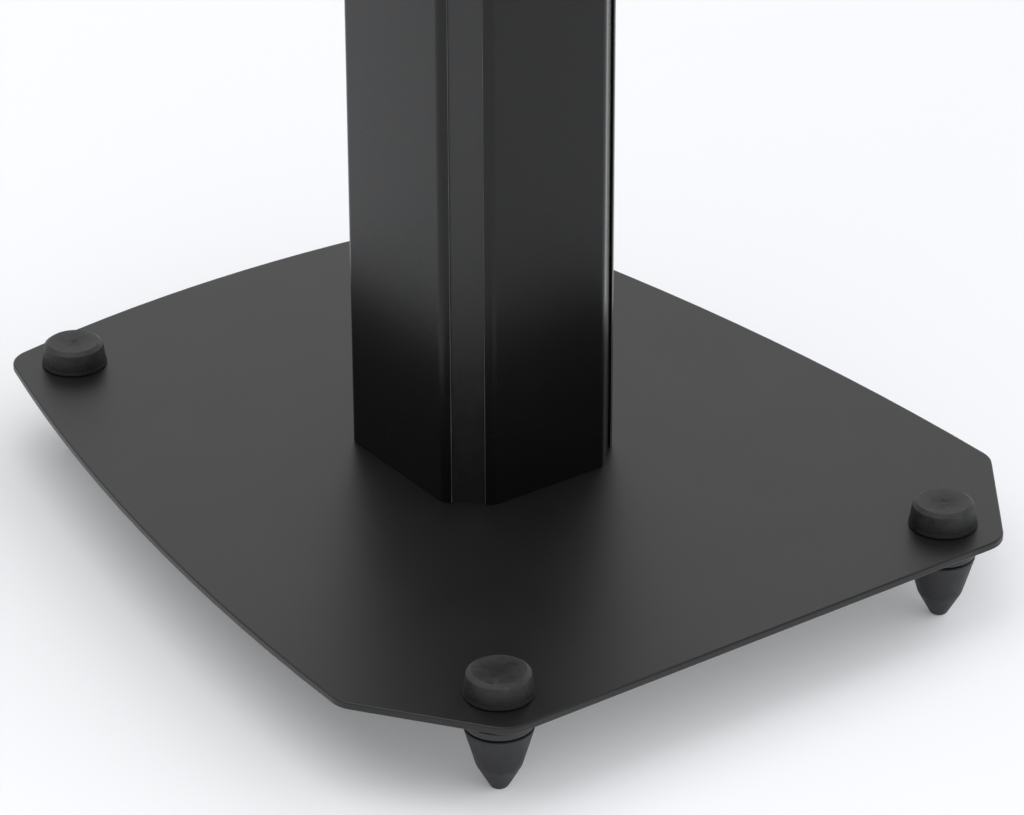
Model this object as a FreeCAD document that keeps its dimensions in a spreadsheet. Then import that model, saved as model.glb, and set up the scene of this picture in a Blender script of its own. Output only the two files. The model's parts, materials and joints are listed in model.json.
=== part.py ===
import FreeCAD, Part
import math
import os
import re
import Sketcher

from FreeCAD import Placement, Rotation, Vector

# A speaker stand, in millimetres. +Z is up, the front is -Y, and the origin is on the floor,
# under the middle of the base plate. The stand rests on the tips of four rubber boots.

sizes = {
    # base plate: straight front edge, chamfered front corners, bowed sides and rear edge
    "baseDepth": 350.0,
    "baseWidth": 297.0,
    "baseThickness": 3.0,
    "baseFrontEdge": 223.0,
    "baseChamferSetback": 50.0,     # from the front edge back to where the sides begin
    "baseWidestSetback": 53.0,      # from the front edge back to the widest place
    "baseSideRadius": 1105.0,
    "baseRearRadius": 540.0,
    "baseCornerRadius": 12.0,
    # top plate: the same outline on its own sizes
    "topDepth": 220.0,
    "topWidth": 180.0,
    "topThickness": 4.0,
    "topFrontEdge": 132.0,
    "topChamferSetback": 32.0,
    "topWidestSetback": 36.0,
    "topSideRadius": 640.0,
    "topRearRadius": 370.0,
    "topCornerRadius": 9.0,
    "rimRadius": 0.7,               # rolled edge of both plates
    "standHeight": 610.0,           # floor to the upper face of the top plate
    # column
    "columnWidth": 79.0,            # across the left and right panels
    "columnDepth": 85.4,            # across the front and rear panels
    "columnSetback": 172.55,        # from the base's front edge back to the column's axis
    "cornerAcross": 14.4,           # the sloping corner, from side to side, before the bends
    "cornerAlong": 13.0,            # the same corner, from front to rear
    "panelSheet": 1.0,
    "panelBend": 4.2,               # outer radius of a panel's bends
    "panelReturn": 3.6,             # along the corner, from the sharp edge to the return's end
    "panelEndRadius": 0.35,
    "panelFit": 0.05,               # gap between a panel and the core
    "coreWall": 2.0,
    "flangeThickness": 8.0,
    "flangeFit": 0.05,              # gap between a flange and the core's inside
    "fillHoleRadius": 15.0,         # in the upper flange, for filling the column with sand
    # feet, from the floor up
    "frontFootInset": 21.9,         # from the front edge back to the front feet
    "frontFootSideInset": 48.0,     # from the widest place in to the front feet
    "rearFootInset": 29.9,
    "rearFootSideInset": 56.5,
    "bootHeight": 25.3,
    "bootTopRadius": 12.7,
    "bootBreakHeight": 9.9,
    "bootBreakRadius": 8.3,
    "bootTipRadius": 2.9,
    "bootTipBlend": 2.2,
    "bootBreakBlend": 8.0,
    "bootLipBlend": 0.6,
    "bootFit": 0.05,                # gap between a boot and its spike
    "spikePointHeight": 4.2,
    "spikePointRadius": 0.6,
    "spikeConeRadius": 6.5,
    "spikeShoulderHeight": 20.6,
    "spikeShoulderRadius": 9.4,
    "bootGap": 0.8,                 # dark groove between the boot and the lock ring
    "ringThickness": 2.8,
    "ringRadius": 12.6,
    "ringBlend": 0.4,
    "studRadius": 3.95,             # M8
    "threadFit": 0.05,              # radial gap in every threaded hole
    "bushBossHeight": 6.2,
    "bushBossRadius": 12.2,
    "bushBossBevel": 0.5,           # on the lower edge, against the lock ring
    "bushNeckRadius": 7.0,
    "bushNeckHeight": 4.6,          # above the base plate
    "bushFit": 0.05,                # gap between the bush's neck and the plate
    "studKeyWidth": 4.0,            # hexagon socket, across the flats
    "studKeyDepth": 4.0,
    # caps
    "capRadius": 12.8,
    "capHeight": 9.4,
    "capShoulderRadius": 11.5,
    "capShoulderHeight": 8.2,
    "capTopRadius": 9.8,
    "capFootBevel": 0.5,
    "capDish": 0.35,
    "capDimpleRadius": 2.0,
    "capDimpleDepth": 0.4,
    "capBlend": 0.6,
    "capFit": 0.05,                 # gap between a cap and the bush's neck
    "capRoof": 3.0,                 # rubber over the socket of a cap
    # screws and washers under the base, M8 button heads
    "baseScrewSpacing": 40.0,
    "baseScrewRadius": 3.95,
    "baseScrewLength": 12.0,
    "baseHeadRadius": 7.0,
    "baseHeadHeight": 4.4,
    "baseHeadCrown": 4.6,           # radius of the flat of the head
    "baseHeadRim": 1.4,             # straight part of the head, against the washer
    "baseKeyWidth": 5.0,
    "baseKeyDepth": 2.6,
    "washerRadius": 8.0,
    "washerThickness": 1.6,
    "screwHoleFit": 0.5,            # radial gap in a plain screw hole
    # screws in the top plate, M6 countersunk
    "topScrewSpacing": 46.0,
    "topScrewRadius": 2.95,
    "topScrewLength": 11.0,
    "topHeadRadius": 6.0,
    "topHeadSink": 0.15,            # depth of the heads below the plate's face
    "topHeadFit": 0.05,
    "topKeyWidth": 4.0,
    "topKeyDepth": 1.8,
    # pads that the speaker rests on
    "padRadius": 6.0,
    "padHeight": 2.0,
    "padBlend": 0.5,
    "padFrontInset": 20.0,
    "padFrontSideInset": 30.0,
    "padRearInset": 22.0,
    "padRearSideInset": 30.0,
}

doc = FreeCAD.newDocument("SpeakerStand")
sheet = doc.addObject("Spreadsheet::Sheet", "Sizes")
for row, (name, value) in enumerate(sizes.items(), start=1):
    sheet.set("A%d" % row, name)
    sheet.set("B%d" % row, str(value))
    sheet.setAlias("B%d" % row, name)
doc.recompute()


# heights and places that follow from the sizes, as formulas on the sheet's words
ringBottom = "bootHeight + bootGap"
bossBottom = ringBottom + " + ringThickness"
plateBottom = bossBottom + " + bushBossHeight"
plateTop = plateBottom + " + baseThickness"
topBottom = "standHeight - topThickness"
columnLength = "%s - (%s)" % (topBottom, plateTop)
columnY = "columnSetback - baseDepth / 2"
# the core's half width and half depth, and how far its corner faces are from its axis
cornerSpan = "sqrt(cornerAcross ^ 2 + cornerAlong ^ 2)"
cornerFace = ("(cornerAlong * columnWidth / 2 + cornerAcross * columnDepth / 2"
              " - cornerAcross * cornerAlong) / " + cornerSpan)
coreSize = [face + " - panelSheet - panelFit" for face in ("columnWidth / 2", "columnDepth / 2", cornerFace)]
topHeadTop = "standHeight - topHeadSink"


def formula(text):
    """Point every size named in a text at its cell in the sheet."""
    def cell(word):
        return "Sizes." + word.group() if word.group() in sizes else word.group()
    return re.sub(r"[A-Za-z]\w*", cell, text)


def number(text):
    return float(sheet.evalExpression(formula(text)))


def bind(item, settings):
    for name, text in settings.items():
        item.setExpression(name, formula(text))


def newBody(label, place=("0", "0", "0"), turn=0.0):
    """A body whose own origin stands at a place, turned about +Z by some degrees."""
    body = doc.addObject("PartDesign::Body", label)
    body.Label = label
    body.Placement = Placement(Vector(), Rotation(Vector(0, 0, 1), turn))
    bind(body, {"Placement.Base." + axis: text for axis, text in zip("xyz", place)})
    return body


def attach(body, feature, role, offset=("0", "0", "0")):
    """Lay a sketch or a primitive on one of its body's planes, moved by an offset."""
    plane = [item for item in body.Origin.OriginFeatures if item.Role == role][0]
    feature.AttachmentSupport = [(plane, "")]
    feature.MapMode = "FlatFace"
    bind(feature, {"AttachmentOffset.Base." + axis: text for axis, text in zip("xyz", offset)})


def newSketch(body, name, role, height="0"):
    sketch = body.newObject("Sketcher::SketchObject", name)
    attach(body, sketch, role, ("0", "0", height))
    return sketch


def fix(sketch, kind, where, text):
    """Add a measured constraint whose value is bound to the sheet."""
    index = sketch.addConstraint(Sketcher.Constraint(kind, *where, number(text)))
    sketch.setExpression("Constraints[%d]" % index, formula(text))


def fixPoint(sketch, item, end, x, y):
    fix(sketch, "DistanceX", (-1, 1, item, end), x)
    fix(sketch, "DistanceY", (-1, 1, item, end), y)


def addPolygon(sketch, points):
    """A closed outline through points that are given as pairs of formulas."""
    corners = [Vector(number(x), number(y), 0) for x, y in points]
    lines = [sketch.addGeometry(Part.LineSegment(start, end))
             for start, end in zip(corners, corners[1:] + corners[:1])]
    for line, following in zip(lines, lines[1:] + lines[:1]):
        sketch.addConstraint(Sketcher.Constraint("Coincident", line, 2, following, 1))
    for line, (x, y) in zip(lines, points):
        fixPoint(sketch, line, 1, x, y)


def addCircle(sketch, x, y, radius):
    circle = Part.Circle(Vector(number(x), number(y), 0), Vector(0, 0, 1), number(radius))
    item = sketch.addGeometry(circle)
    fixPoint(sketch, item, 3, x, y)
    fix(sketch, "Radius", (item,), radius)


def pad(body, sketch, length):
    feature = body.newObject("PartDesign::Pad", "Pad")
    feature.Profile = sketch
    bind(feature, {"Length": length})
    doc.recompute()
    return feature


def pocket(body, sketch, length=None, upwards=False):
    """Cut downwards from a sketch, or upwards, right through if no length is given."""
    before = body.Tip.Shape.Volume
    feature = body.newObject("PartDesign::Pocket", "Pocket")
    feature.Profile = sketch
    feature.Reversed = upwards
    if length:
        bind(feature, {"Length": length})
    else:
        feature.Type = "ThroughAll"
    doc.recompute()
    if feature.Shape.Volume >= before:
        raise RuntimeError("a pocket of %s cuts nothing" % body.Label)
    return feature


def addCone(body, kind, place, bottomRadius, topRadius, length):
    """Add a cone to a body, or cut one out of it, by the kind of feature."""
    feature = body.newObject("PartDesign::%sCone" % kind, "Cone")
    attach(body, feature, "XY_Plane", place)
    bind(feature, {"Radius1": bottomRadius, "Radius2": topRadius, "Height": length})
    doc.recompute()
    return feature


def revolve(body, points):
    """A turned solid: radius and height pairs, about the body's own Z axis."""
    sketch = newSketch(body, "Profile", "XZ_Plane")
    addPolygon(sketch, points)
    feature = body.newObject("PartDesign::Revolution", "Revolution")
    feature.Profile = sketch
    feature.ReferenceAxis = (sketch, ["V_Axis"])
    feature.Angle = 360.0
    doc.recompute()
    return feature


def fillet(body, wanted, radius):
    """Round the edges of the body's latest feature that a test picks."""
    base = body.Tip
    picked = ["Edge%d" % place for place, edge in enumerate(base.Shape.Edges, start=1) if wanted(edge)]
    if not picked:
        raise RuntimeError("nothing to round on %s" % body.Label)
    feature = body.newObject("PartDesign::Fillet", "Fillet")
    feature.Base = (base, picked)
    bind(feature, {"Radius": radius})
    doc.recompute()
    return feature


def near(first, second):
    return abs(first - second) < 0.001


def ringAt(radius, height):
    """Test for a turned solid's round edge of one radius at one height."""
    return lambda edge: (hasattr(edge.Curve, "Radius") and near(edge.Curve.Radius, number(radius))
                         and near(edge.Curve.Center.z, number(height)))


def isUpright(edge):
    first, last = edge.Vertexes[0].Point, edge.Vertexes[-1].Point
    return near(first.x, last.x) and near(first.y, last.y) and not near(first.z, last.z)


def uprightAt(places):
    """Test for the upright edges that stand at places given as pairs of formulas."""
    spots = [(number(x), number(y)) for x, y in places]
    return lambda edge: isUpright(edge) and any(
        near(edge.Vertexes[0].X, x) and near(edge.Vertexes[0].Y, y) for x, y in spots)


def hexagon(x, y, width):
    """The six corners of a key socket of one width across its flats."""
    reach = "(%s) / sqrt(3)" % width
    return [("%s + %s * cos(%d)" % (x, reach, angle), "%s + %s * sin(%d)" % (y, reach, angle))
            for angle in range(0, 360, 60)]


def square(spacing):
    """Four places, one in each quarter, a spacing apart."""
    return [("%s * %s / 2" % (across, spacing), "%s * %s / 2" % (along, spacing))
            for across in ("-1", "1") for along in ("-1", "1")]


# ---- plates

def sideMeetsRear(sideX, sideY, sideRadius, rearY, rearRadius):
    """Where the right side's circle meets the rear edge's circle, at the rear."""
    between = math.hypot(sideX, sideY - rearY)
    along = (sideRadius ** 2 - rearRadius ** 2 + between ** 2) / (2 * between)
    across = math.sqrt(sideRadius ** 2 - along ** 2)
    stepX, stepY = -sideX / between, (rearY - sideY) / between
    ends = [(sideX + along * stepX + turn * across * stepY, sideY + along * stepY - turn * across * stepX)
            for turn in (-1, 1)]
    return max(ends, key=lambda end: end[1])


def addPlateOutline(sketch, plate):
    """Front edge, two chamfers, two bowed sides and a bowed rear edge, about the plate's middle."""
    front = "-%sDepth / 2" % plate
    frontX = "%sFrontEdge / 2" % plate
    shoulderY = "%s + %sChamferSetback" % (front, plate)
    sideX = "%sWidth / 2 - %sSideRadius" % (plate, plate)
    sideY = "%s + %sWidestSetback" % (front, plate)
    sideRadius = "%sSideRadius" % plate
    rearY = "%sDepth / 2 - %sRearRadius" % (plate, plate)
    rearRadius = "%sRearRadius" % plate

    reach = number(sideRadius)
    rise = math.asin((number(shoulderY) - number(sideY)) / reach)
    shoulder = Vector(number(sideX) + reach * math.cos(rise), number(shoulderY), 0)
    rearEndX, rearEndY = sideMeetsRear(number(sideX), number(sideY), reach, number(rearY), number(rearRadius))
    corner = Vector(number(frontX), number(front), 0)
    fall = math.asin((rearEndY - number(sideY)) / reach)
    bow = math.atan2(rearEndY - number(rearY), rearEndX)

    def mirrored(point):
        return Vector(-point.x, point.y, 0)

    def arc(x, y, radius, start, end):
        circle = Part.Circle(Vector(x, y, 0), Vector(0, 0, 1), radius)
        return sketch.addGeometry(Part.ArcOfCircle(circle, start, end))

    frontLine = sketch.addGeometry(Part.LineSegment(mirrored(corner), corner))
    rightChamfer = sketch.addGeometry(Part.LineSegment(corner, shoulder))
    rightSide = arc(number(sideX), number(sideY), reach, rise, fall)
    rear = arc(0, number(rearY), number(rearRadius), bow, math.pi - bow)
    leftSide = arc(-number(sideX), number(sideY), reach, math.pi - fall, math.pi - rise)
    leftChamfer = sketch.addGeometry(Part.LineSegment(mirrored(shoulder), mirrored(corner)))

    loop = [frontLine, rightChamfer, rightSide, rear, leftSide, leftChamfer]
    for item, following in zip(loop, loop[1:] + loop[:1]):
        sketch.addConstraint(Sketcher.Constraint("Coincident", item, 2, following, 1))
    fixPoint(sketch, frontLine, 1, "-" + frontX, front)
    fixPoint(sketch, frontLine, 2, frontX, front)
    fix(sketch, "DistanceY", (-1, 1, rightChamfer, 2), shoulderY)
    fix(sketch, "DistanceY", (-1, 1, leftChamfer, 1), shoulderY)
    for side, x in ((rightSide, sideX), (leftSide, "-(%s)" % sideX)):
        fixPoint(sketch, side, 3, x, sideY)
        fix(sketch, "Radius", (side,), sideRadius)
    sketch.addConstraint(Sketcher.Constraint("PointOnObject", rear, 3, -2))
    fix(sketch, "DistanceY", (-1, 1, rear, 3), rearY)
    fix(sketch, "Radius", (rear,), rearRadius)


def makePlate(label, plate, place, holes):
    """A plate with rolled rims and plain round holes, given as x, y and radius."""
    body = newBody(label, place)
    outline = newSketch(body, "Outline", "XY_Plane")
    addPlateOutline(outline, plate)
    pad(body, outline, plate + "Thickness")
    fillet(body, isUpright, plate + "CornerRadius")
    fillet(body, lambda edge: not isUpright(edge), "rimRadius")
    drilled = newSketch(body, "Holes", "XY_Plane")
    for x, y, radius in holes:
        addCircle(drilled, x, y, radius)
    pocket(body, drilled, upwards=True)
    return body


footX = {"front": "baseWidth / 2 - frontFootSideInset", "rear": "baseWidth / 2 - rearFootSideInset"}
footY = {"front": "frontFootInset - baseDepth / 2", "rear": "baseDepth / 2 - rearFootInset"}
padX = {"front": "topWidth / 2 - padFrontSideInset", "rear": "topWidth / 2 - padRearSideInset"}
padY = {"front": "padFrontInset - topDepth / 2", "rear": "topDepth / 2 - padRearInset"}
corners = [(end, side) for end in ("front", "rear") for side in ("left", "right")]
sideSign = {"left": "-1", "right": "1"}


def cornerPlace(end, side, across, along):
    return "%s * (%s)" % (sideSign[side], across[end]), along[end]


bushHoles = [cornerPlace(end, side, footX, footY) + ("bushNeckRadius + bushFit",) for end, side in corners]
baseScrewPlaces = square("baseScrewSpacing")
baseScrewHoles = [(x, "%s + %s" % (columnY, y), "baseScrewRadius + screwHoleFit") for x, y in baseScrewPlaces]
makePlate("base_plate", "base", ("0", "0", plateBottom), bushHoles + baseScrewHoles)

topScrewPlaces = square("topScrewSpacing")
topHoles = [(x, y, "topScrewRadius + screwHoleFit") for x, y in topScrewPlaces]
topPlate = makePlate("top_plate", "top", ("0", columnY, topBottom), topHoles)
# each countersink has the slope of a screw's head, and is wider than it by the head's fit
sinkTop = "topHeadRadius + topHeadFit + topHeadSink"
sinkDepth = sinkTop + " - topScrewRadius"
for x, y in topScrewPlaces:
    sinkPlace = (x, y, "topThickness - (%s)" % sinkDepth)
    addCone(topPlate, "Subtractive", sinkPlace, "topScrewRadius", sinkTop, sinkDepth)


# ---- column

def octagon(inset=""):
    """The core's outline, a rectangle with sloping corners, or the same outline set in."""
    halfX, halfY, corner = ["(%s%s)" % (text, inset) for text in coreSize]
    span = "(%s * %s)" % (corner, cornerSpan)
    quarter = [(halfX, "((%s - cornerAlong * %s) / cornerAcross)" % (span, halfX)),
               ("((%s - cornerAcross * %s) / cornerAlong)" % (span, halfY), halfY)]
    points = []
    for signX, signY, order in (("1", "1", 1), ("-1", "1", -1), ("-1", "-1", 1), ("1", "-1", -1)):
        points += [("%s * %s" % (signX, x), "%s * %s" % (signY, y)) for x, y in quarter[::order]]
    return points


def makePanel(label, turn, width, depth, across, back):
    """A sheet panel with a return along each side, drawn as the front one.

    The column is as wide as one size and as deep as another, seen from the panel's own side, and
    its corners slope by so much across the panel and so much back from it."""
    body = newBody(label, ("0", columnY, plateTop), turn)
    faceY = "-%s / 2" % depth
    bendX = "%s / 2 - %s" % (width, across)
    returnX = "%s + panelReturn * %s / %s" % (bendX, across, cornerSpan)
    returnY = "%s + panelReturn * %s / %s" % (faceY, back, cornerSpan)
    innerX = "%s - panelSheet * %s / %s" % (returnX, back, cornerSpan)
    innerY = "%s + panelSheet * %s / %s" % (returnY, across, cornerSpan)
    innerBendX = "%s - panelSheet * (%s - %s) / %s" % (bendX, cornerSpan, across, back)
    right = [(bendX, faceY), (returnX, returnY), (innerX, innerY), (innerBendX, faceY + " + panelSheet")]
    left = [("-(%s)" % x, y) for x, y in right[::-1]]
    section = newSketch(body, "Section", "XY_Plane")
    addPolygon(section, right + left)
    pad(body, section, columnLength)
    fillet(body, uprightAt([right[0], left[-1]]), "panelBend")
    fillet(body, uprightAt([right[3], left[0]]), "panelBend - panelSheet")
    fillet(body, uprightAt([right[1], left[2]]), "panelEndRadius")
    return body


def makeFlange(label, height, spacing, holeRadius, middleHole=None):
    body = newBody(label, ("0", columnY, height))
    outline = newSketch(body, "Outline", "XY_Plane")
    addPolygon(outline, octagon(" - coreWall - flangeFit"))
    for x, y in square(spacing):
        addCircle(outline, x, y, holeRadius)
    if middleHole:
        addCircle(outline, "0", "0", middleHole)
    pad(body, outline, "flangeThickness")


for label, turn in (("panel_front", 0), ("panel_rear", 180)):
    makePanel(label, turn, "columnWidth", "columnDepth", "cornerAcross", "cornerAlong")
for label, turn in (("panel_right", 90), ("panel_left", 270)):
    makePanel(label, turn, "columnDepth", "columnWidth", "cornerAlong", "cornerAcross")

core = newBody("core_tube", ("0", columnY, plateTop))
coreSection = newSketch(core, "Section", "XY_Plane")
outside = octagon()
addPolygon(coreSection, outside)
addPolygon(coreSection, octagon(" - coreWall"))
pad(core, coreSection, columnLength)
fillet(core, uprightAt(outside), "panelBend - panelSheet - panelFit")

makeFlange("lower_flange", plateTop, "baseScrewSpacing", "baseScrewRadius + threadFit")
makeFlange("upper_flange", topBottom + " - flangeThickness", "topScrewSpacing",
           "topScrewRadius + threadFit", "fillHoleRadius")


# ---- screws and washers, each group one node of four separate solids

def cutSocket(body, places, width, depth, height, upwards):
    sketch = newSketch(body, "Sockets", "XY_Plane", height)
    for x, y in places:
        addPolygon(sketch, hexagon(x, y, width))
    pocket(body, sketch, depth, upwards)


def addRounds(body, places, radius, bottom, length):
    sketch = newSketch(body, "Rounds", "XY_Plane", bottom)
    for x, y in places:
        addCircle(sketch, x, y, radius)
    return pad(body, sketch, length)


baseScrews = newBody("base_screws", ("0", columnY, plateBottom + " - washerThickness"))
addRounds(baseScrews, baseScrewPlaces, "baseHeadRadius", "-baseHeadRim", "baseHeadRim")
for x, y in baseScrewPlaces:
    addCone(baseScrews, "Additive", (x, y, "-baseHeadHeight"), "baseHeadCrown", "baseHeadRadius",
            "baseHeadHeight - baseHeadRim")
addRounds(baseScrews, baseScrewPlaces, "baseScrewRadius", "0", "baseScrewLength")
cutSocket(baseScrews, baseScrewPlaces, "baseKeyWidth", "baseKeyDepth", "-baseHeadHeight", True)

washers = newBody("base_washers", ("0", columnY, plateBottom + " - washerThickness"))
washerSketch = newSketch(washers, "Rings", "XY_Plane")
for x, y in baseScrewPlaces:
    addCircle(washerSketch, x, y, "washerRadius")
    addCircle(washerSketch, x, y, "baseScrewRadius + screwHoleFit")
pad(washers, washerSketch, "washerThickness")

topScrews = newBody("top_screws", ("0", columnY, topHeadTop))
addRounds(topScrews, topScrewPlaces, "topScrewRadius", "-topScrewLength", "topScrewLength")
headHeight = "topHeadRadius - topScrewRadius"
for x, y in topScrewPlaces:
    addCone(topScrews, "Additive", (x, y, "-(%s)" % headHeight), "topScrewRadius", "topHeadRadius",
            headHeight)
cutSocket(topScrews, topScrewPlaces, "topKeyWidth", "topKeyDepth", "0", False)


# ---- feet

def makeBush(label, place):
    body = newBody(label, place + (bossBottom,))
    bore = "studRadius + threadFit"
    neckTop = "bushBossHeight + baseThickness + bushNeckHeight"
    revolve(body, [(bore, "0"), ("bushBossRadius - bushBossBevel", "0"), ("bushBossRadius", "bushBossBevel"),
                   ("bushBossRadius", "bushBossHeight"), ("bushNeckRadius", "bushBossHeight"),
                   ("bushNeckRadius", neckTop), (bore, neckTop)])


def makeSpike(label, place):
    """M8 stud, shoulder and steel cone, turned from one piece."""
    body = newBody(label, place + ("0",))
    studTop = plateTop + " + bushNeckHeight"
    revolve(body, [("0", "spikePointHeight"), ("spikePointRadius", "spikePointHeight"),
                   ("spikeConeRadius", "spikeShoulderHeight"), ("spikeShoulderRadius", "spikeShoulderHeight"),
                   ("spikeShoulderRadius", ringBottom), ("studRadius", ringBottom),
                   ("studRadius", studTop), ("0", studTop)])
    cutSocket(body, [("0", "0")], "studKeyWidth", "studKeyDepth", studTop, False)


def makeBoot(label, place):
    body = newBody(label, place + ("0",))
    mouth = "spikeShoulderRadius + bootFit"
    ledge = "spikeShoulderHeight - bootFit"
    revolve(body, [("0", "0"), ("bootTipRadius", "0"), ("bootBreakRadius", "bootBreakHeight"),
                   ("bootTopRadius", "bootHeight"), (mouth, "bootHeight"), (mouth, ledge),
                   ("spikeConeRadius + bootFit", ledge),
                   ("spikePointRadius + bootFit", "spikePointHeight - bootFit"),
                   ("0", "spikePointHeight - bootFit")])
    fillet(body, ringAt("bootTipRadius", "0"), "bootTipBlend")
    fillet(body, ringAt("bootBreakRadius", "bootBreakHeight"), "bootBreakBlend")
    fillet(body, ringAt("bootTopRadius", "bootHeight"), "bootLipBlend")


def makeRing(label, place):
    body = newBody(label, place + (ringBottom,))
    bore = "studRadius + threadFit"
    revolve(body, [(bore, "0"), ("ringRadius", "0"), ("ringRadius", "ringThickness"),
                   (bore, "ringThickness")])
    fillet(body, lambda edge: ringAt("ringRadius", "0")(edge) or ringAt("ringRadius", "ringThickness")(edge),
           "ringBlend")


def makeCap(label, place):
    """A rubber cap with a dished top and a dimple, pushed over the bush's neck."""
    body = newBody(label, place + (plateTop,))
    socket = "bushNeckRadius + capFit"
    roof = "capHeight - capRoof"
    dished = "capHeight - capDish"
    revolve(body, [("0", roof), (socket, roof), (socket, "0"), ("capRadius - capFootBevel", "0"),
                   ("capRadius", "capFootBevel"), ("capShoulderRadius", "capShoulderHeight"),
                   ("capTopRadius", "capHeight"), ("capDimpleRadius", dished),
                   ("0", dished + " - capDimpleDepth")])
    fillet(body, ringAt("capShoulderRadius", "capShoulderHeight"), "capBlend")
    fillet(body, ringAt("capTopRadius", "capHeight"), "capBlend")


for end, side in corners:
    spot = cornerPlace(end, side, footX, footY)
    corner = "%s_%s" % (end, side)
    makeBush("bush_" + corner, spot)
    makeSpike("spike_" + corner, spot)
    makeBoot("boot_" + corner, spot)
    makeRing("lock_ring_" + corner, spot)
    makeCap("cap_" + corner, spot)

    padSpot = cornerPlace(end, side, padX, padY)
    rest = newBody("top_pad_" + corner, (padSpot[0], "%s + %s" % (columnY, padSpot[1]), "standHeight"))
    revolve(rest, [("0", "0"), ("padRadius", "0"), ("padRadius", "padHeight"), ("0", "padHeight")])
    fillet(rest, ringAt("padRadius", "padHeight"), "padBlend")

doc.recompute()

for item in doc.Objects:
    if "Invalid" in item.State or "Error" in item.State:
        raise RuntimeError("%s (%s) is %s" % (item.Name, item.Label, item.State))

os.makedirs("parts", exist_ok=True)
for body in doc.findObjects("PartDesign::Body"):
    shape = body.Shape
    if shape.isNull() or not shape.isValid() or not shape.Solids:
        raise RuntimeError(body.Label + " has no valid solid")
    shape.exportStep("parts/%s.step" % body.Label)
    box = shape.BoundBox
    print("%-24s %d solid(s) %10.1f mm3  x %7.1f %7.1f  y %7.1f %7.1f  z %6.1f %6.1f" % (
        body.Label, len(shape.Solids), shape.Volume,
        box.XMin, box.XMax, box.YMin, box.YMax, box.ZMin, box.ZMax))
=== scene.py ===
import json
import math

import bpy
import numpy as np
from mathutils import Matrix, Vector


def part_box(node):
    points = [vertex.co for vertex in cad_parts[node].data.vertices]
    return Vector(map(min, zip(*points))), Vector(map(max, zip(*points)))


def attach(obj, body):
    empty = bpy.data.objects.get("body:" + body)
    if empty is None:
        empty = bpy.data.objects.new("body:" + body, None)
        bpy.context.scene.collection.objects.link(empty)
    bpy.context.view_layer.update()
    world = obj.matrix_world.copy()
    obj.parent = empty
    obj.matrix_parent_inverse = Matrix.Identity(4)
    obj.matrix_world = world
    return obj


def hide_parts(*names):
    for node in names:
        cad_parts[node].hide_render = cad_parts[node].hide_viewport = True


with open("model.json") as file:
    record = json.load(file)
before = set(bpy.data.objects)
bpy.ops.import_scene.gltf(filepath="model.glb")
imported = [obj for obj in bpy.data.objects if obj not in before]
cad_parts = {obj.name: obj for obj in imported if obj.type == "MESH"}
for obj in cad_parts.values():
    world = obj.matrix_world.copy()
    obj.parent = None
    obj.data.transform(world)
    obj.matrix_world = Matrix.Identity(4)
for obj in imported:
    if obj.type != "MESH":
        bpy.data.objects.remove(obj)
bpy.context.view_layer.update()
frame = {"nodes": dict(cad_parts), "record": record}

corners = ["front_left", "front_right", "rear_left", "rear_right"]


# a new material with its shader set from plain numbers
def startMaterial(name, settings):
    material = bpy.data.materials.new(name)
    material.use_nodes = True
    tree = material.node_tree
    shader = tree.nodes["Principled BSDF"]
    for socket in ("Metallic", "Roughness", "IOR", "Specular IOR Level"):
        if socket in settings:
            shader.inputs[socket].default_value = settings[socket]
    return material, tree, shader


noiseShape = {
    "detail": 3.0, "grainRoughness": 0.6, "cloudRoughness": 0.55,
    "middle": 0.5,                           # the share of the light colour where the noise is even
    "speckle": 0.5,                          # how far the grain moves that share, either way
    "patchLow": 0.35,                        # how much of a painted edge highlight is left where the noise is low
}


# noise on the object's own metres, its scale in bumps to the metre
def addNoise(tree, place, scale, roughness):
    noise = tree.nodes.new("ShaderNodeTexNoise")
    noise.inputs["Scale"].default_value = scale
    noise.inputs["Detail"].default_value = noiseShape["detail"]
    noise.inputs["Roughness"].default_value = roughness
    tree.links.new(place, noise.inputs["Vector"])
    return noise.outputs["Fac"]


# a value spread to run from one number to another, by default from the middle range of a noise
def addRange(tree, value, low, high, fromLow=0.3, fromHigh=0.7):
    spread = tree.nodes.new("ShaderNodeMapRange")
    for socket, number in (("From Min", fromLow), ("From Max", fromHigh), ("To Min", low), ("To Max", high)):
        spread.inputs[socket].default_value = number
    tree.links.new(value, spread.inputs["Value"])
    return spread.outputs["Result"]


# two colours, or a socket's colour and another, with a value between them
def addTint(tree, value, dark, light):
    mix = tree.nodes.new("ShaderNodeMix")
    mix.data_type = "RGBA"
    for socket, colour in ((mix.inputs[6], dark), (mix.inputs[7], light)):
        if isinstance(colour, tuple):
            socket.default_value = (*colour, 1.0)
        else:
            tree.links.new(colour, socket)
    tree.links.new(value, mix.inputs[0])
    return mix.outputs[2]


def addBump(tree, height, distance):
    bump = tree.nodes.new("ShaderNodeBump")
    bump.inputs["Distance"].default_value = distance
    tree.links.new(height, bump.inputs["Height"])
    return bump.outputs["Normal"]


def addSum(tree, first, second):
    total = tree.nodes.new("ShaderNodeMath")
    total.operation = "ADD"
    for socket, value in zip(total.inputs, (first, second)):
        tree.links.new(value, socket)
    return total.outputs[0]
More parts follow.
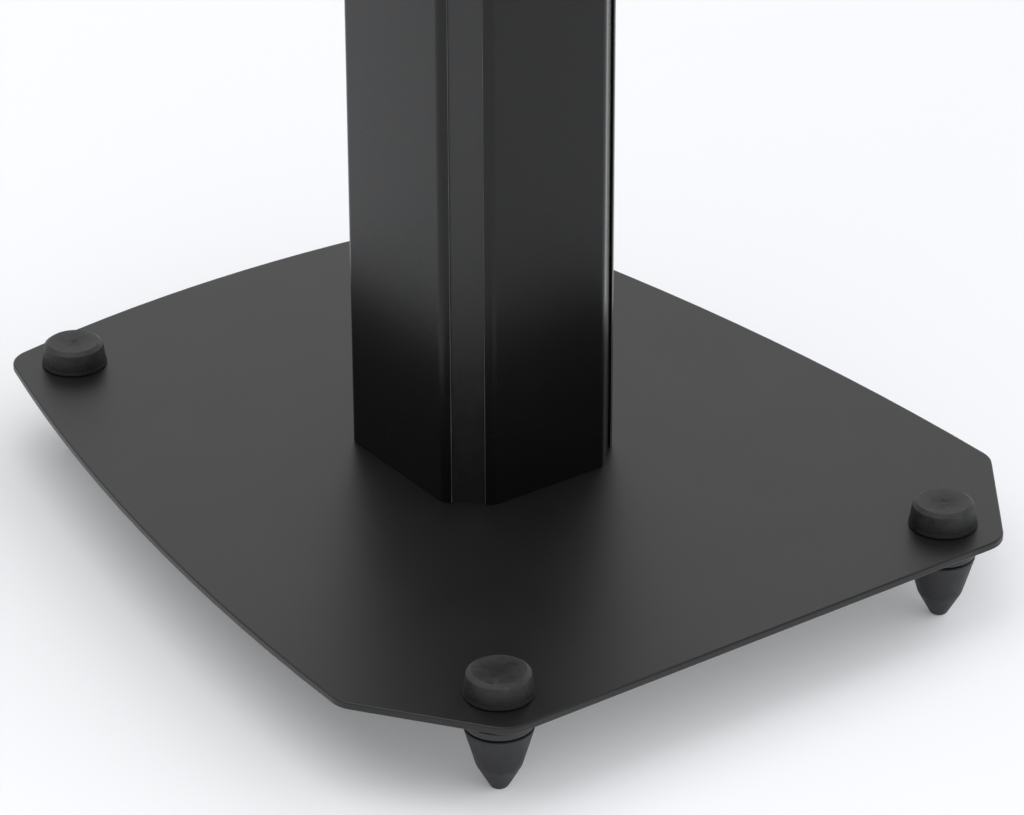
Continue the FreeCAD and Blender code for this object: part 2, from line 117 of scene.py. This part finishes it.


# a fine grain over a slow unevenness, and where asked, another colour low down and a paler painted highlight on
# the marked edges
def makeFinish(name, settings):
    material, tree, shader = startMaterial(name, settings)
    place = tree.nodes.new("ShaderNodeTexCoord").outputs["Object"]
    grain = addNoise(tree, place, settings["grain"], noiseShape["grainRoughness"])
    cloud = addNoise(tree, place, settings["cloud"], noiseShape["cloudRoughness"])
    speckle = addRange(tree, grain, -noiseShape["speckle"], noiseShape["speckle"])
    middle, mottled = noiseShape["middle"], settings["mottle"]
    mottle = addRange(tree, cloud, middle - mottled, middle + mottled)
    tint = addTint(tree, addSum(tree, speckle, mottle), settings["dark"], settings["light"])
    uneven = settings["uneven"]
    rough = addRange(tree, cloud, settings["Roughness"] - uneven, settings["Roughness"] + uneven)
    if "low" in settings:
        split = tree.nodes.new("ShaderNodeSeparateXYZ")
        tree.links.new(place, split.inputs["Vector"])
        lowEnd = settings["lowEnd"]
        lifted = addRange(tree, split.outputs["Z"], 0.0, 1.0, lowEnd, lowEnd + settings["lowBlend"])
        tint = addTint(tree, lifted, settings["low"], tint)
    # a paler colour on the edges marked in the edge attribute: a painted highlight, left patchy by the slow noise
    if "paintedEdgeHighlight" in settings:
        edge = tree.nodes.new("ShaderNodeAttribute")
        edge.attribute_name = "edge"
        patchy = tree.nodes.new("ShaderNodeMath")
        patchy.operation = "MULTIPLY"
        tree.links.new(edge.outputs["Fac"], patchy.inputs[0])
        tree.links.new(addRange(tree, cloud, noiseShape["patchLow"], 1.0), patchy.inputs[1])
        tint = addTint(tree, patchy.outputs[0], tint, settings["paintedEdgeHighlight"])
    tree.links.new(tint, shader.inputs["Base Color"])
    tree.links.new(rough, shader.inputs["Roughness"])
    tree.links.new(addBump(tree, grain, settings["depth"]), shader.inputs["Normal"])
    return material


finishSettings = {
    "plate_paint": {
        "Roughness": 0.41, "uneven": 0.015, "grain": 2600.0, "cloud": 30.0, "mottle": 0.2, "depth": 0.00002,
        "dark": (0.003, 0.003, 0.0032), "light": (0.0055, 0.0055, 0.0058),
    },
    "panel_satin": {
        "Roughness": 0.27, "uneven": 0.01, "grain": 3500.0, "cloud": 25.0, "mottle": 0.2, "depth": 0.000004,
        # the pale cut edges of the sheet are a painted highlight
        "dark": (0.0008, 0.0008, 0.0008), "light": (0.0015, 0.0015, 0.0015), "paintedEdgeHighlight": (0.1, 0.1, 0.094),
        "IOR": 1.41,
    },
    "core_texture": {
        "Roughness": 0.34, "uneven": 0.03, "grain": 1900.0, "cloud": 200.0, "mottle": 0.3, "depth": 0.00004,
        "dark": (0.0004, 0.0004, 0.0004), "light": (0.0018, 0.0018, 0.0018), "IOR": 1.62,
    },
    "ring_satin": {
        "Roughness": 0.42, "uneven": 0.03, "grain": 2500.0, "cloud": 90.0, "mottle": 0.2, "depth": 0.00002,
        "dark": (0.014, 0.0145, 0.0165), "light": (0.02, 0.0205, 0.023),
    },
    "black_screws": {
        "Roughness": 0.38, "uneven": 0.05, "grain": 2200.0, "cloud": 220.0, "mottle": 0.4, "depth": 0.00002,
        "dark": (0.012, 0.012, 0.0125), "light": (0.022, 0.022, 0.0225),
    },
    "foot_rubber": {
        "Roughness": 0.5, "uneven": 0.1, "grain": 1600.0, "cloud": 260.0, "mottle": 0.25, "depth": 0.0002,
        # the pale shoulder and rim of the caps and the lip of the boots are a painted highlight
        "dark": (0.0005, 0.0005, 0.0005), "light": (0.007, 0.007, 0.0073), "paintedEdgeHighlight": (0.035, 0.035, 0.035),
        "low": (0.014, 0.014, 0.0147), "lowEnd": 0.03, "lowBlend": 0.005, "IOR": 1.43,
    },
    "pad_rubber": {
        "Roughness": 0.7, "uneven": 0.05, "grain": 1800.0, "cloud": 150.0, "mottle": 0.3, "depth": 0.00008,
        "dark": (0.014, 0.014, 0.014), "light": (0.022, 0.022, 0.022),
    },
    "plated_steel": {
        "Roughness": 0.32, "uneven": 0.06, "grain": 900.0, "cloud": 100.0, "mottle": 0.3, "depth": 0.00001,
        "dark": (0.05, 0.05, 0.055), "light": (0.09, 0.09, 0.096), "Metallic": 1.0,
    },
    "bare_steel": {
        "Roughness": 0.4, "uneven": 0.08, "grain": 900.0, "cloud": 90.0, "mottle": 0.4, "depth": 0.00002,
        "dark": (0.38, 0.38, 0.39), "light": (0.5, 0.5, 0.51), "Metallic": 1.0,
    },
}
finishes = {name: makeFinish(name, settings) for name, settings in finishSettings.items()}
slotOf = {item["node"]: item["material_slot"] for item in frame["record"]["subparts"]}
for name, node in frame["nodes"].items():
    for materialSlot in node.material_slots:
        materialSlot.material = finishes[slotOf[name]]
print("materials are made")

sharpAngle = math.radians(35)
# the least values that keep a straight corner from a division by zero, and the gap under which points are one
leastLength, leastSweep, mergeDistance = 1e-9, 1e-6, 1e-8
axisRadius = 1e-7                            # a profile that starts nearer the axis than this starts on it
keyMouth = 1.25                              # the radius a socket starts from, in half widths across its flats


# A path with an arc in place of each corner. From the arc's centre, its points are the vectors
# to its two ends, each weighted by the sine of its share of the sweep.
def roundedPath(points, radii, steps=8):
    corner = np.array(points, float)
    radii = np.array(radii, float)[:, None]
    before = np.roll(corner, 1, axis=0) - corner
    after = np.roll(corner, -1, axis=0) - corner
    before /= np.linalg.norm(before, axis=1, keepdims=True)
    after /= np.linalg.norm(after, axis=1, keepdims=True)
    between = np.arccos(np.clip((before * after).sum(axis=1, keepdims=True), -1, 1))
    middle = before + after
    middle /= np.maximum(np.linalg.norm(middle, axis=1, keepdims=True), leastLength)
    centre = corner + middle * radii / np.sin(between / 2)
    reach = radii / np.tan(between / 2)
    first = corner + before * reach - centre
    last = corner + after * reach - centre
    sweep = np.maximum(math.pi - between, leastSweep)[:, None]
    share = np.linspace(0, 1, steps + 1)[None, :, None]
    weights = np.sin((1 - share) * sweep) / np.sin(sweep), np.sin(share * sweep) / np.sin(sweep)
    path = (centre[:, None] + weights[0] * first[:, None] + weights[1] * last[:, None]).reshape(-1, 2)
    return path[np.linalg.norm(path - np.roll(path, 1, axis=0), axis=1) > mergeDistance]


# four-sided faces over a grid of rows and columns, closed round its columns, and round its rows if asked
def gridFaces(rows, columns, loop=False):
    row, column = np.meshgrid(np.arange(rows if loop else rows - 1), np.arange(columns), indexing="ij")
    rowAfter, columnAfter = (row + 1) % rows, (column + 1) % columns
    quads = [row * columns + column, row * columns + columnAfter,
             rowAfter * columns + columnAfter, rowAfter * columns + column]
    return np.stack(quads, axis=-1).reshape(-1, 4)


# a finished mesh at the origin, smooth but for its sharp edges, riding on a body in place of a node
def addPiece(name, points, faces, body, node, edge=None):
    mesh = bpy.data.meshes.new(name)
    mesh.from_pydata(points.tolist(), [], faces)
    mesh.validate()
    mesh.shade_smooth()
    mesh.set_sharp_from_angle(angle=sharpAngle)
    if edge is not None:
        mesh.attributes.new("edge", "FLOAT", "POINT").data.foreach_set("value", edge.astype(np.float32))
    piece = bpy.data.objects.new(name, mesh)
    bpy.context.collection.objects.link(piece)
    mesh.materials.append(finishes[slotOf[node]])
    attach(piece, body)
    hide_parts(node)


# A turned surface: at an angle t and a row of radius r and height z, the point is r cos t, r sin t, z.
# Where a row's third number is 1 the radius is that of a hexagon, r over the cosine of the angle
# from the nearest flat. A thread is cut in by a ridge that climbs by one pitch a turn, flat at its
# crest and root for the share of the pitch called crest.
def turnedPiece(name, rows, places, body, node, columns=96, thread=None, edge=None):
    rows = np.array(rows, float)
    if rows.shape[1] == 2:
        rows = np.column_stack([rows, np.zeros(len(rows))])
    capped = rows[0, 0] < axisRadius                 # both ends on the axis, or else a closed ring
    bottom, top = rows[0], rows[-1]
    rings = rows[1:-1] if capped else rows
    angle = np.arange(columns) * 2 * math.pi / columns
    hexagon = 1 / np.cos(np.mod(angle, math.pi / 3) - math.pi / 6)
    radius = rings[:, :1] * (1 + rings[:, 2:] * (hexagon[None] - 1))
    if thread:
        turns = rings[:, 1:2] / thread["pitch"] - angle[None] / (2 * math.pi)
        crest = thread["crest"]
        ridge = np.clip((1 - np.abs(2 * np.mod(turns, 1) - 1) - crest) / (1 - 2 * crest), 0, 1)
        inside = (rings[:, 1:2] > thread["from"]) & (rings[:, 1:2] < thread["to"]) & (rings[:, 2:] == 0)
        radius -= np.where(inside, thread["depth"] * (1 - ridge), 0)
    height = np.broadcast_to(rings[:, 1:2], radius.shape)
    points = np.stack([radius * np.cos(angle), radius * np.sin(angle), height], axis=-1).reshape(-1, 3)
    faces = gridFaces(len(rings), columns, loop=not capped)
    # the share of painted highlight at each point
    highlightShare = None if edge is None else np.repeat(edge[1:-1] if capped else edge, columns)
    fans = np.zeros((0, 3), int)
    if capped:
        count = len(points)
        points = np.vstack([points, [0, 0, bottom[1]], [0, 0, top[1]]])
        around, last = np.arange(columns), (len(rings) - 1) * columns
        following = (around + 1) % columns
        fans = np.vstack([np.column_stack([np.full(columns, count), following, around]),
                          np.column_stack([np.full(columns, count + 1), last + around, last + following])])
        if highlightShare is not None:
            highlightShare = np.concatenate([highlightShare, edge[[0, -1]]])
    shift = np.column_stack([np.array(places, float), np.zeros(len(places))])
    steps = (np.arange(len(places)) * len(points))[:, None, None]
    quads, fans = (faces[None] + steps).reshape(-1, 4), (fans[None] + steps).reshape(-1, 3)
    points = (points[None] + shift[:, None]).reshape(-1, 3)
    if highlightShare is not None:
        highlightShare = np.tile(highlightShare, len(places))
    addPiece(name, points, quads.tolist() + fans.tolist(), body, node, highlightShare)


# how near each point of a profile is to one of its ridges, by a bell curve on the distance
def nearness(path, ridges, width):
    apart = np.linalg.norm(path[:, None] - np.array(ridges)[None], axis=2).min(axis=1)
    return np.exp(-(apart / width) ** 2)


# the middle of a node's box, from above
def middleOf(node):
    low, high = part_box(node)
    return (low[0] + high[0]) / 2, (low[1] + high[1]) / 2


cap = {
    "foot": 0.0381, "height": 0.0094, "radius": 0.0128, "footBevel": 0.0005,
    "flareRadius": 0.0124, "flareHeight": 0.0018,
    "shoulderRadius": 0.0115, "shoulderHeight": 0.0082, "topRadius": 0.0098,
    "dish": 0.00035, "dimpleRadius": 0.002, "dimpleDepth": 0.0004, "blend": 0.0006,
    "socketRadius": 0.00705, "socketDepth": 0.0064, "highlightWidth": 0.0006,
    "socketBlend": 0.0003, "footBlend": 0.0002, "sideBlend": 0.0003, "flareBlend": 0.0012, "dimpleBlend": 0.0006,
}


def makeCap(corner):
    foot, top = cap["foot"], cap["foot"] + cap["height"]
    roof, dished = foot + cap["socketDepth"], top - cap["dish"]
    shoulder = (cap["shoulderRadius"], foot + cap["shoulderHeight"])
    rim = (cap["topRadius"], top)
    points = [(0, roof), (cap["socketRadius"], roof), (cap["socketRadius"], foot),
              (cap["radius"] - cap["footBevel"], foot), (cap["radius"], foot + cap["footBevel"]),
              (cap["flareRadius"], foot + cap["flareHeight"]), shoulder, rim,
              (cap["dimpleRadius"], dished), (0, dished - cap["dimpleDepth"])]
    radii = [0, cap["socketBlend"], cap["socketBlend"], cap["footBlend"], cap["sideBlend"], cap["flareBlend"],
             cap["blend"], cap["blend"], cap["dimpleBlend"], 0]
    path = roundedPath(points, radii)
    # the cap's shoulder and rim are marked for a painted highlight
    turnedPiece("capRubber_" + corner, path, [middleOf("cap_" + corner)], "cap_" + corner, "cap_" + corner,
                columns=128, edge=nearness(path, [shoulder, rim], cap["highlightWidth"]))


boot = {
    "height": 0.0253, "topRadius": 0.0127, "breakHeight": 0.0099, "breakRadius": 0.0083,
    "tipRadius": 0.0029, "tipBlend": 0.0022, "breakBlend": 0.008, "lipBlend": 0.0006,
    "mouthRadius": 0.00945, "ledgeHeight": 0.02055, "boreRadius": 0.00655, "boreEndRadius": 0.00065,
    "boreEndHeight": 0.00415, "mouthBlend": 0.0003, "boreBlend": 0.0002, "highlightWidth": 0.0007,
}


def makeBoot(corner):
    lip = (boot["topRadius"], boot["height"])
    points = [(0, 0), (boot["tipRadius"], 0), (boot["breakRadius"], boot["breakHeight"]), lip,
              (boot["mouthRadius"], boot["height"]), (boot["mouthRadius"], boot["ledgeHeight"]),
              (boot["boreRadius"], boot["ledgeHeight"]), (boot["boreEndRadius"], boot["boreEndHeight"]),
              (0, boot["boreEndHeight"])]
    radii = [0, boot["tipBlend"], boot["breakBlend"], boot["lipBlend"], boot["mouthBlend"],
             boot["boreBlend"], boot["boreBlend"], boot["boreBlend"], 0]
    path = roundedPath(points, radii, steps=10)
    # the boot's lip is marked for a painted highlight
    turnedPiece("bootRubber_" + corner, path, [middleOf("boot_" + corner)], "boot_" + corner, "boot_" + corner,
                edge=nearness(path, [lip], boot["highlightWidth"]))


lockRing = {
    "bottom": 0.0261, "thickness": 0.0028, "radius": 0.0126, "bore": 0.004, "blend": 0.00045, "boreBlend": 0.0001,
}


def makeLockRing(corner):
    bottom, top = lockRing["bottom"], lockRing["bottom"] + lockRing["thickness"]
    blend, boreBlend = lockRing["blend"], lockRing["boreBlend"]
    points = [(lockRing["bore"], bottom), (lockRing["radius"], bottom), (lockRing["radius"], top),
              (lockRing["bore"], top)]
    path = roundedPath(points, [boreBlend, blend, blend, boreBlend])
    turnedPiece("lockRingTurned_" + corner, path, [middleOf("lock_ring_" + corner)], "lock_ring_" + corner,
                "lock_ring_" + corner, columns=128)


spike = {
    "pointHeight": 0.0042, "pointRadius": 0.0006, "coneRadius": 0.0065, "shoulderHeight": 0.0206,
    "shoulderRadius": 0.0094, "shoulderTop": 0.0261, "studRadius": 0.00395, "studTop": 0.0427,
    "threadPitch": 0.00125, "threadDepth": 0.0006, "threadCrest": 0.125, "rowsPerPitch": 10,
    "keyWidth": 0.004, "keyDepth": 0.004, "bevel": 0.0003, "pointBlend": 0.0002, "shoulderBlend": 0.0003,
}


def makeSpike(corner):
    key, top, bevel = spike["keyWidth"] / 2, spike["studTop"], spike["bevel"]
    threadEnd = top - 2 * bevel
    rowCount = int((threadEnd - spike["shoulderTop"]) / spike["threadPitch"] * spike["rowsPerPitch"])
    stud = np.linspace(spike["shoulderTop"] + bevel, threadEnd, rowCount)
    below = roundedPath([(0, spike["pointHeight"]), (spike["pointRadius"], spike["pointHeight"]),
                         (spike["coneRadius"], spike["shoulderHeight"]),
                         (spike["shoulderRadius"], spike["shoulderHeight"]),
                         (spike["shoulderRadius"], spike["shoulderTop"]), (0, spike["shoulderTop"])],
                        [0, spike["pointBlend"], spike["pointBlend"], spike["shoulderBlend"],
                         spike["shoulderBlend"], 0])[:-1]
    rows = np.vstack([np.column_stack([below, np.zeros(len(below))]),
                      [(spike["studRadius"], spike["shoulderTop"], 0)],
                      np.column_stack([np.full(rowCount, spike["studRadius"]), stud, np.zeros(rowCount)]),
                      [(spike["studRadius"] - 2 * bevel, top, 0), (key * keyMouth, top, 0),
                       (key, top - bevel, 1), (key, top - spike["keyDepth"], 1), (0, top - spike["keyDepth"], 0)]])
    turnedPiece("spikeStud_" + corner, rows, [middleOf("spike_" + corner)], "spike_" + corner, "spike_" + corner,
                thread={"pitch": spike["threadPitch"], "depth": spike["threadDepth"],
                        "crest": spike["threadCrest"], "from": spike["shoulderTop"] + 2 * bevel,
                        "to": threadEnd - bevel})


topPad = {"radius": 0.006, "bottom": 0.61, "height": 0.002, "blend": 0.0007, "footBlend": 0.0001}


def makeTopPad(corner):
    bottom, top = topPad["bottom"], topPad["bottom"] + topPad["height"]
    path = roundedPath([(0, bottom), (topPad["radius"], bottom), (topPad["radius"], top), (0, top)],
                       [0, topPad["footBlend"], topPad["blend"], 0])
    turnedPiece("topPadRubber_" + corner, path, [middleOf("top_pad_" + corner)], "root", "top_pad_" + corner)


for corner in corners:
    makeCap(corner)
    makeBoot(corner)
    makeLockRing(corner)
    makeSpike(corner)
    makeTopPad(corner)
print("caps, boots, lock rings, spikes and pads are made")

panel = {
    "width": 0.079, "depth": 0.0854, "axis": -0.00245, "cornerAcross": 0.0144, "cornerAlong": 0.013,
    "sheet": 0.001, "bend": 0.0042, "return": 0.0036, "edgeRound": 0.0003, "bottom": 0.0381, "top": 0.606,
    "edgeSteps": 6, "bendSteps": 14, "plainFrom": 0.02, "plainRows": 24,
    "highlightFrom": 0.15, "highlightTo": 0.85,        # the part of a cut edge's rounding that gets a painted highlight
}


# A bent sheet. Its middle line runs along one return, the face and the other return, and each point
# stands off that line by half the sheet, less towards the ends and the cut edges, where the corner
# of the sheet is an arc: the half is taken down by the arc's radius times 1 minus root 1 - a2 - b2.
def makePanel(name, width, depth, across, back, turn):
    edgeRound, span = panel["edgeRound"], math.hypot(across, back)
    half, bendX = panel["sheet"] / 2, width / 2 - across
    faceY = -depth / 2 + half
    bendMiddle = bendX - half * (span - across) / back
    endX = bendX + (panel["return"] * across - half * back) / span
    endY = -depth / 2 + (panel["return"] * back + half * across) / span
    middle = roundedPath([(-endX, endY), (-bendMiddle, faceY), (bendMiddle, faceY), (endX, endY)],
                         [0, panel["bend"] - half, panel["bend"] - half, 0], steps=panel["bendSteps"])
    length = np.concatenate([[0], np.cumsum(np.linalg.norm(np.diff(middle, axis=0), axis=1))])
    fade = edgeRound * (1 - np.cos(np.linspace(0, math.pi / 2, panel["edgeSteps"])))
    station = np.unique(np.concatenate([fade, length[1:-1], length[-1] - fade]))
    line = np.column_stack([np.interp(station, length, middle[:, axis]) for axis in (0, 1)])
    tangent = np.gradient(line, station, axis=0)
    tangent /= np.linalg.norm(tangent, axis=1, keepdims=True)
    outwards = np.column_stack([tangent[:, 1], -tangent[:, 0]])
    plainFrom = panel["plainFrom"]
    plain = np.linspace(panel["bottom"] + plainFrom, panel["top"] - plainFrom, panel["plainRows"])
    height = np.concatenate([panel["bottom"] + fade, plain, panel["top"] - fade[::-1]])
    sideways = np.clip(1 - np.minimum(station, station[-1] - station) / edgeRound, 0, 1)[None]
    upwards = np.clip(1 - np.minimum(height - height[0], height[-1] - height) / edgeRound, 0, 1)[:, None]
    standoff = half - edgeRound * (1 - np.sqrt(np.clip(1 - sideways ** 2 - upwards ** 2, 0, 1)))
    outer = line[None] + outwards[None] * standoff[..., None]
    inner = (line[None] - outwards[None] * standoff[..., None])[:, ::-1]
    ring = np.concatenate([outer, inner], axis=1)
    cosine, sine = math.cos(turn), math.sin(turn)
    x = ring[..., 0] * cosine - ring[..., 1] * sine
    y = ring[..., 0] * sine + ring[..., 1] * cosine + panel["axis"]
    points = np.stack([x, y, np.broadcast_to(height[:, None], x.shape)], axis=-1).reshape(-1, 3)
    rows, columns, count = len(height), ring.shape[1], len(station)
    start = np.arange(count - 1)
    pairs = np.column_stack([start + 1, start, columns - 1 - start, columns - 2 - start])
    faces = np.vstack([gridFaces(rows, columns), pairs, pairs[:, ::-1] + (rows - 1) * columns])
    # the middle of each cut edge's rounding is marked for a painted highlight
    paintedEdgeHighlight = (sideways > panel["highlightFrom"]) & (sideways < panel["highlightTo"])
    cut = np.broadcast_to(paintedEdgeHighlight, standoff.shape).astype(float)
    addPiece(name + "Sheet", points, faces.tolist(), "root", name, np.concatenate([cut, 0 * cut], axis=1).ravel())


frontSizes = [panel[size] for size in ("width", "depth", "cornerAcross", "cornerAlong")]
sideSizes = [panel[size] for size in ("depth", "width", "cornerAlong", "cornerAcross")]
makePanel("panel_front", *frontSizes, 0)
makePanel("panel_rear", *frontSizes, math.pi)
makePanel("panel_right", *sideSizes, math.pi / 2)
makePanel("panel_left", *sideSizes, -math.pi / 2)
print("panels are made")

baseScrew = {
    "spacing": 0.04, "seat": 0.0335, "headRadius": 0.007, "headHeight": 0.0044, "crown": 0.0046, "rim": 0.0012,
    "domeAcross": 0.93, "domeUp": 0.62,      # the dome's own corner, as shares of its radius and height
    "shank": 0.00395, "tip": 0.0455, "keyWidth": 0.005, "keyDepth": 0.0026, "bevel": 0.00025,
    "blends": (0.0018, 0.002, 0.0009, 0.0002, 0.0002, 0.0006),
}
topScrew = {
    "spacing": 0.046, "top": 0.60985, "headRadius": 0.006, "shank": 0.00295, "length": 0.011,
    "keyWidth": 0.004, "keyDepth": 0.0018, "bevel": 0.0002, "blends": (0.0004, 0.0003, 0.0001),
}


def screwPlaces(spacing):
    return [(x * spacing / 2, panel["axis"] + y * spacing / 2) for x in (-1, 1) for y in (-1, 1)]


# a round row for each point of a path, its third number 0
def withRound(path):
    return np.column_stack([path, np.zeros(len(path))])


def makeBaseScrews():
    seat, radius, shank, tip = (baseScrew[size] for size in ("seat", "headRadius", "shank", "tip"))
    low, key, bevel = seat - baseScrew["headHeight"], baseScrew["keyWidth"] / 2, baseScrew["bevel"]
    domeHeight = baseScrew["headHeight"] - baseScrew["rim"]
    head = roundedPath([(key * keyMouth, low), (baseScrew["crown"], low),
                        (radius * baseScrew["domeAcross"], low + domeHeight * baseScrew["domeUp"]),
                        (radius, seat - baseScrew["rim"]), (radius, seat), (shank, seat), (shank, tip), (0, tip)],
                       [0, *baseScrew["blends"], 0])
    socket = [(0, low + baseScrew["keyDepth"], 0), (key, low + baseScrew["keyDepth"], 1), (key, low + bevel, 1)]
    rows = np.vstack([socket, withRound(head)])
    turnedPiece("baseScrewsDomed", rows, screwPlaces(baseScrew["spacing"]), "root", "base_screws")


def makeTopScrews():
    top, key, bevel = topScrew["top"], topScrew["keyWidth"] / 2, topScrew["bevel"]
    slope = topScrew["headRadius"] - topScrew["shank"]
    head = roundedPath([(0, top - topScrew["length"]), (topScrew["shank"], top - topScrew["length"]),
                        (topScrew["shank"], top - slope), (topScrew["headRadius"], top), (key * keyMouth, top)],
                       [0, *topScrew["blends"], 0])
    socket = [(key, top - bevel, 1), (key, top - topScrew["keyDepth"], 1), (0, top - topScrew["keyDepth"], 0)]
    turnedPiece("topScrewsSunk", np.vstack([withRound(head), socket]), screwPlaces(topScrew["spacing"]),
                "root", "top_screws")


makeBaseScrews()
makeTopScrews()
print("screws are made")

stage = {
    "floorSize": 14.0,
    "floorColor": (0.94, 0.94, 0.943),
    "floorLift": 0.14,                       # how much of the white is the floor's own, as the camera sees it
    "skyDim": (0.28, 0.288, 0.302),
    "skyBright": (1.66, 1.7, 1.76),
    "skyTowards": (0.6, -0.76, -0.25),       # where the light of the sky is brightest: low, at the front and right
    "skySpread": (-0.5, 0.5),                # the cosines to that way between which it brightens
    "backdropDim": (0.55, 0.55, 0.555),
    "backdropTowards": (0.585, 0.811, 0.0),  # where the sky itself is white
    "backdropSpread": (0.4, 0.9),
    "softboxPlace": (-0.5, 0.1, 1.6),
    "softboxSize": (1.5, 1.5),
    "softboxPower": 10.6,
    "softboxAim": (0.0, 0.0, 0.2),
}


# how far a direction faces one way, from 0 to 1 between two cosines
def addFacing(tree, place, towards, low, high):
    along = tree.nodes.new("ShaderNodeVectorMath")
    along.operation = "DOT_PRODUCT"
    along.inputs[1].default_value = towards
    tree.links.new(place, along.inputs[0])
    return addRange(tree, along.outputs["Value"], 0.0, 1.0, low, high)


# white, at a strength of 1, mixed by a share into what the camera and reflections see
def addWhite(tree, shaded, kind, output, share):
    white = tree.nodes.new(kind)
    white.inputs["Color"].default_value = (1.0, 1.0, 1.0, 1.0)
    white.inputs["Strength"].default_value = 1.0
    rays = tree.nodes.new("ShaderNodeLightPath")
    seen = addSum(tree, rays.outputs["Is Camera Ray"], rays.outputs["Is Glossy Ray"])
    seen = addSum(tree, seen, rays.outputs["Is Transmission Ray"])
    amount = tree.nodes.new("ShaderNodeMath")
    amount.operation = "MULTIPLY"
    tree.links.new(seen, amount.inputs[0])
    amount.inputs[1].default_value = share
    mix = tree.nodes.new("ShaderNodeMixShader")
    tree.links.new(amount.outputs[0], mix.inputs["Fac"])
    tree.links.new(shaded, mix.inputs[1])
    tree.links.new(white.outputs[0], mix.inputs[2])
    tree.links.new(mix.outputs["Shader"], output.inputs["Surface"])
    return white


def makeFloor():
    half = stage["floorSize"] / 2
    mesh = bpy.data.meshes.new("floor")
    mesh.from_pydata([(-half, -half, 0), (half, -half, 0), (half, half, 0), (-half, half, 0)], [], [(0, 1, 2, 3)])
    floor = bpy.data.objects.new("floor", mesh)
    bpy.context.collection.objects.link(floor)
    material, tree, shader = startMaterial("floor_white", {"Roughness": 1.0, "Specular IOR Level": 0.0})
    shader.inputs["Base Color"].default_value = (*stage["floorColor"], 1.0)
    addWhite(tree, shader.outputs["BSDF"], "ShaderNodeEmission", tree.nodes["Material Output"], stage["floorLift"])
    mesh.materials.append(material)


def makeWorld():
    world = bpy.data.worlds.new("studio")
    bpy.context.scene.world = world
    world.use_nodes = True
    tree = world.node_tree
    lighting = tree.nodes["Background"]
    place = tree.nodes.new("ShaderNodeTexCoord").outputs["Generated"]
    facing = addFacing(tree, place, stage["skyTowards"], *stage["skySpread"])
    tree.links.new(addTint(tree, facing, stage["skyDim"], stage["skyBright"]), lighting.inputs["Color"])
    white = addWhite(tree, lighting.outputs["Background"], "ShaderNodeBackground", tree.nodes["World Output"], 1.0)
    facing = addFacing(tree, place, stage["backdropTowards"], *stage["backdropSpread"])
    tree.links.new(addTint(tree, facing, stage["backdropDim"], (1.0, 1.0, 1.0)), white.inputs["Color"])


def makeSoftbox():
    data = bpy.data.lights.new("softbox", "AREA")
    data.shape = "RECTANGLE"
    data.size, data.size_y = stage["softboxSize"]
    data.energy = stage["softboxPower"]
    light = bpy.data.objects.new("softbox", data)
    bpy.context.collection.objects.link(light)
    light.location = stage["softboxPlace"]
    towards = Vector(stage["softboxAim"]) - Vector(stage["softboxPlace"])
    light.rotation_euler = towards.to_track_quat("-Z", "Y").to_euler()


view = {
    "place": (-0.8737, -1.2373, 0.8634),
    "heading": math.radians(35.702),         # from the rear, towards the right
    "fall": math.radians(28.186),
    "roll": math.radians(-0.18),
    "lens": 159.23,
    "sensor": 36.0,
    "clipEnd": 60.0,
}


def makeCamera():
    data = bpy.data.cameras.new("camera")
    data.sensor_width = view["sensor"]
    data.lens = view["lens"]
    data.clip_end = view["clipEnd"]
    camera = bpy.data.objects.new("camera", data)
    bpy.context.collection.objects.link(camera)
    flat = math.cos(view["fall"])
    forward = Vector((math.sin(view["heading"]) * flat, math.cos(view["heading"]) * flat, -math.sin(view["fall"])))
    level = forward.cross(Vector((0, 0, 1))).normalized()
    upright = level.cross(forward)
    right = level * math.cos(view["roll"]) + upright * math.sin(view["roll"])
    up = right.cross(forward)
    turn = Matrix((right, up, -forward)).transposed()
    camera.matrix_world = Matrix.Translation(view["place"]) @ turn.to_4x4()
    bpy.context.scene.camera = camera


makeFloor()
makeWorld()
makeSoftbox()
makeCamera()
bpy.context.scene.view_settings.view_transform = "Standard"
print("floor, light and camera are made")
